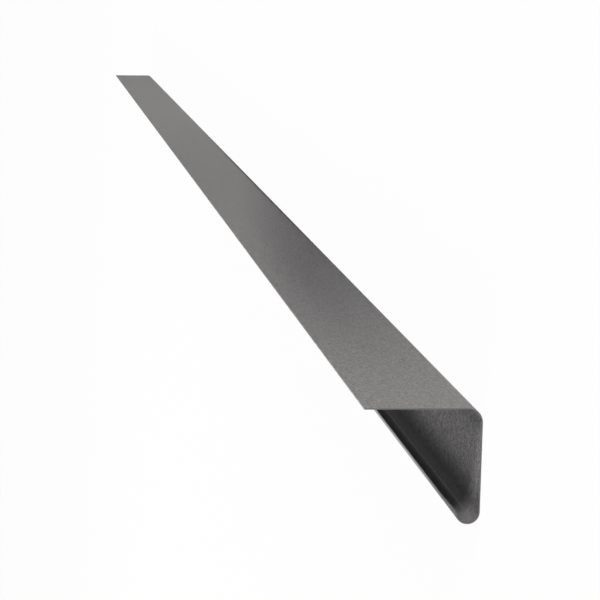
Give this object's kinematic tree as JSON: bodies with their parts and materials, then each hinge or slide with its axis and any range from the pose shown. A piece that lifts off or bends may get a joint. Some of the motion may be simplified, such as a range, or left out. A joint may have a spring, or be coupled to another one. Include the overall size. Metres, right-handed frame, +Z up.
{
  "type": "drip edge flashing",
  "caption": "Strip of thin galvanised sheet, rolled to an angle with a rounded bend and an inward half-round hem, that sheds water off a roof edge.",
  "frame": {"origin": "on the floor, under the middle of the strip's bounding box", "axes": "+X across the face, from the hem to the flange; +Y along the strip, away from the end that the picture shows nearest; +Z up, the way the flange stands from the face"},
  "size_m": [0.0498, 3.048, 0.0508],
  "materials": {
    "galvanised_sheet": "matte"
  },
  "bodies": {
    "root": {"drip_edge": "galvanised_sheet"}
  },
  "joints": []
}
